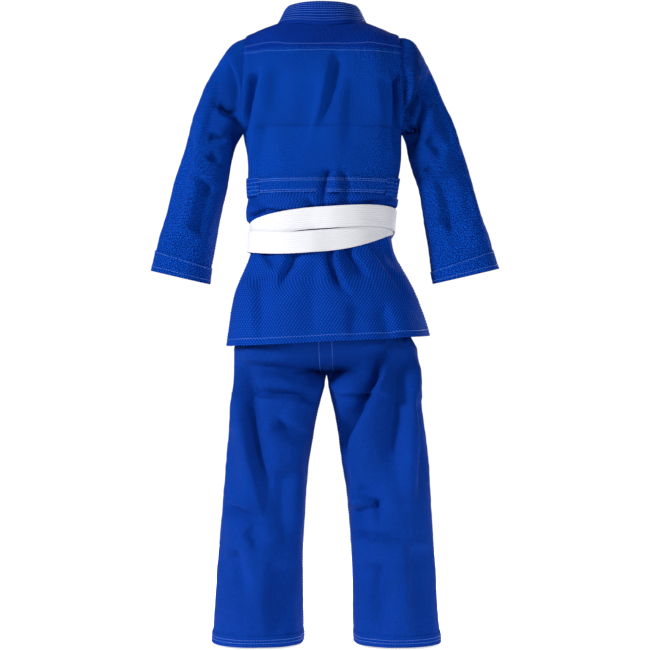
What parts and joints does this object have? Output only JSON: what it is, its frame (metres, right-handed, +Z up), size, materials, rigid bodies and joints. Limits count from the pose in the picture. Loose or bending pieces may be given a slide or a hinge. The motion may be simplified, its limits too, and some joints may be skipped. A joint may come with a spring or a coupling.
{
  "type": "martial arts uniform",
  "caption": "Blue judo-style uniform as worn: wrapped jacket with a stitched collar, white belt wound twice and tied, and loose trousers.",
  "frame": {"origin": "middle of the neck opening at the height where the collar is sewn on", "axes": "+Z up, the wearer faces -Y, the wearer's left is +X"},
  "size_m": [0.6965, 0.3034, 1.2688],
  "materials": {
    "jacket_cloth": "bleached and dyed cotton in a rice-grain weave, matt",
    "skirt_cloth": "dyed cotton in a diamond weave, matt",
    "trouser_cloth": "dyed cotton twill, matt with pressed creases",
    "belt_webbing": "white cotton belt with rows of stitching, matt"
  },
  "bodies": {
    "uniform": {"collar": "jacket_cloth", "lapel_left": "jacket_cloth", "lapel_right": "jacket_cloth", "yoke_back": "jacket_cloth", "yoke_front_left": "jacket_cloth", "yoke_front_right": "jacket_cloth", "upper_back": "jacket_cloth", "front_left": "jacket_cloth", "front_right": "jacket_cloth", "waist_tape": "jacket_cloth", "side_patch_left": "jacket_cloth", "side_patch_right": "jacket_cloth", "skirt_back_top": "skirt_cloth", "skirt_front_left_top": "skirt_cloth", "skirt_front_right_top": "skirt_cloth", "belt_wrap_upper": "belt_webbing", "belt_wrap_lower": "belt_webbing", "belt_knot": "belt_webbing", "trouser_waistband": "trouser_cloth", "drawstring_loop_left": "trouser_cloth", "drawstring_loop_right": "trouser_cloth", "seat_back_left": "trouser_cloth", "seat_back_right": "trouser_cloth", "seat_front_left": "trouser_cloth", "seat_front_right": "trouser_cloth"},
    "sleeve_left": {"sleeve_left": "jacket_cloth", "cuff_left": "jacket_cloth"},
    "sleeve_right": {"sleeve_right": "jacket_cloth", "cuff_right": "jacket_cloth"},
    "leg_left": {"leg_back_left": "trouser_cloth", "leg_front_left": "trouser_cloth", "hem_band_left": "trouser_cloth", "knee_patch_left": "trouser_cloth"},
    "leg_right": {"leg_back_right": "trouser_cloth", "leg_front_right": "trouser_cloth", "hem_band_right": "trouser_cloth", "knee_patch_right": "trouser_cloth"},
    "skirt_back": {"skirt_back": "skirt_cloth"},
    "skirt_front_left": {"skirt_front_left": "skirt_cloth", "lapel_end_left": "jacket_cloth"},
    "skirt_front_right": {"skirt_front_right": "skirt_cloth", "lapel_end_right": "jacket_cloth"},
    "belt_tail_left": {"belt_tail_left": "belt_webbing"},
    "belt_tail_right": {"belt_tail_right": "belt_webbing"}
  },
  "joints": [
    {"name": "sleeve_left_lift", "type": "hinge", "parent": "uniform", "child": "sleeve_left", "pos_m": [0.152, 0, -0.0268], "axis": [0, -1, 0], "range_deg": [0, 75]},
    {"name": "sleeve_right_lift", "type": "hinge", "parent": "uniform", "child": "sleeve_right", "pos_m": [-0.152, 0, -0.0268], "axis": [0, 1, 0], "range_deg": [0, 75]},
    {"name": "leg_left_swing", "type": "hinge", "parent": "uniform", "child": "leg_left", "pos_m": [0.0862, 0, -0.69], "axis": [1, 0, 0], "range_deg": [-15, 15]},
    {"name": "leg_right_swing", "type": "hinge", "parent": "uniform", "child": "leg_right", "pos_m": [-0.1017, 0, -0.69], "axis": [1, 0, 0], "range_deg": [-15, 15]},
    {"name": "skirt_back_lift", "type": "hinge", "parent": "uniform", "child": "skirt_back", "pos_m": [0, 0.1012, -0.462], "axis": [1, 0, 0], "range_deg": [0, 25], "stiffness_Nm_per_rad": 0.2, "springref_deg": -22.92},
    {"name": "skirt_front_lift", "type": "hinge", "parent": "uniform", "child": "skirt_front_left", "pos_m": [0, -0.1236, -0.453], "axis": [-1, 0, 0], "range_deg": [0, 25], "stiffness_Nm_per_rad": 0.6, "springref_deg": -28.65},
    {"name": "skirt_front_right_follow", "type": "hinge", "parent": "uniform", "child": "skirt_front_right", "pos_m": [0, -0.1236, -0.453], "axis": [-1, 0, 0], "range_deg": [0, 25]},
    {"name": "belt_tail_left_swing", "type": "hinge", "parent": "skirt_front_left", "child": "belt_tail_left", "pos_m": [0.0233, -0.1236, -0.453], "axis": [-1, 0, 0], "range_deg": [0, 35]},
    {"name": "belt_tail_right_swing", "type": "hinge", "parent": "skirt_front_left", "child": "belt_tail_right", "pos_m": [-0.0213, -0.1236, -0.453], "axis": [-1, 0, 0], "range_deg": [0, 35]}
  ],
  "couplings": [
    {"joint": "skirt_front_right_follow", "follows": "skirt_front_lift", "ratio": 1}
  ]
}
